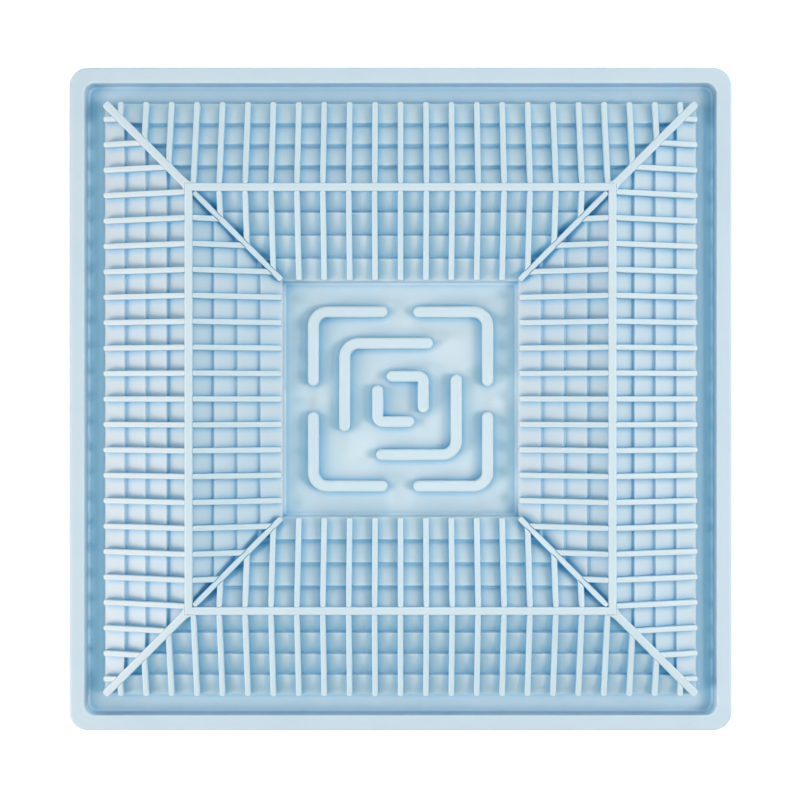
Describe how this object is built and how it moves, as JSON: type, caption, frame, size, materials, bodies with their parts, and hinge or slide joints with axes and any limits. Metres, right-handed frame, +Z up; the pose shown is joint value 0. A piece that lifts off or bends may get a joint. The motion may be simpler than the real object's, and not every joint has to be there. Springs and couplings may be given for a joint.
{
  "type": "lick mat",
  "caption": "Square silicone lick mat with a raised rim, a moat, a ring of ribbed and tiled slopes, and a sunk centre with L shaped bars.",
  "frame": {"origin": "centre of the underside, on the surface that the mat lies on", "axes": "+X to the right and +Y to the back of the mat as pictured from above, +Z up"},
  "size_m": [0.2, 0.2, 0.0169],
  "materials": {
    "silicone": "matte"
  },
  "bodies": {
    "root": {"moat_floor": "silicone", "rim": "silicone", "centre_floor": "silicone", "ring_right": "silicone", "ring_back": "silicone", "ring_left": "silicone", "ring_front": "silicone", "ridge_frame": "silicone", "outer_corner_ribs": "silicone", "inner_corner_ribs": "silicone", "outer_ribs_right": "silicone", "outer_ribs_back": "silicone", "outer_ribs_left": "silicone", "outer_ribs_front": "silicone", "inner_ribs_right": "silicone", "inner_ribs_back": "silicone", "inner_ribs_left": "silicone", "inner_ribs_front": "silicone", "outer_bar_back_right": "silicone", "outer_bar_back_left": "silicone", "outer_bar_front_left": "silicone", "outer_bar_front_right": "silicone", "middle_bar_long": "silicone", "middle_bar_short": "silicone", "core_bar_back_right": "silicone", "core_bar_front_left": "silicone"}
  },
  "joints": []
}
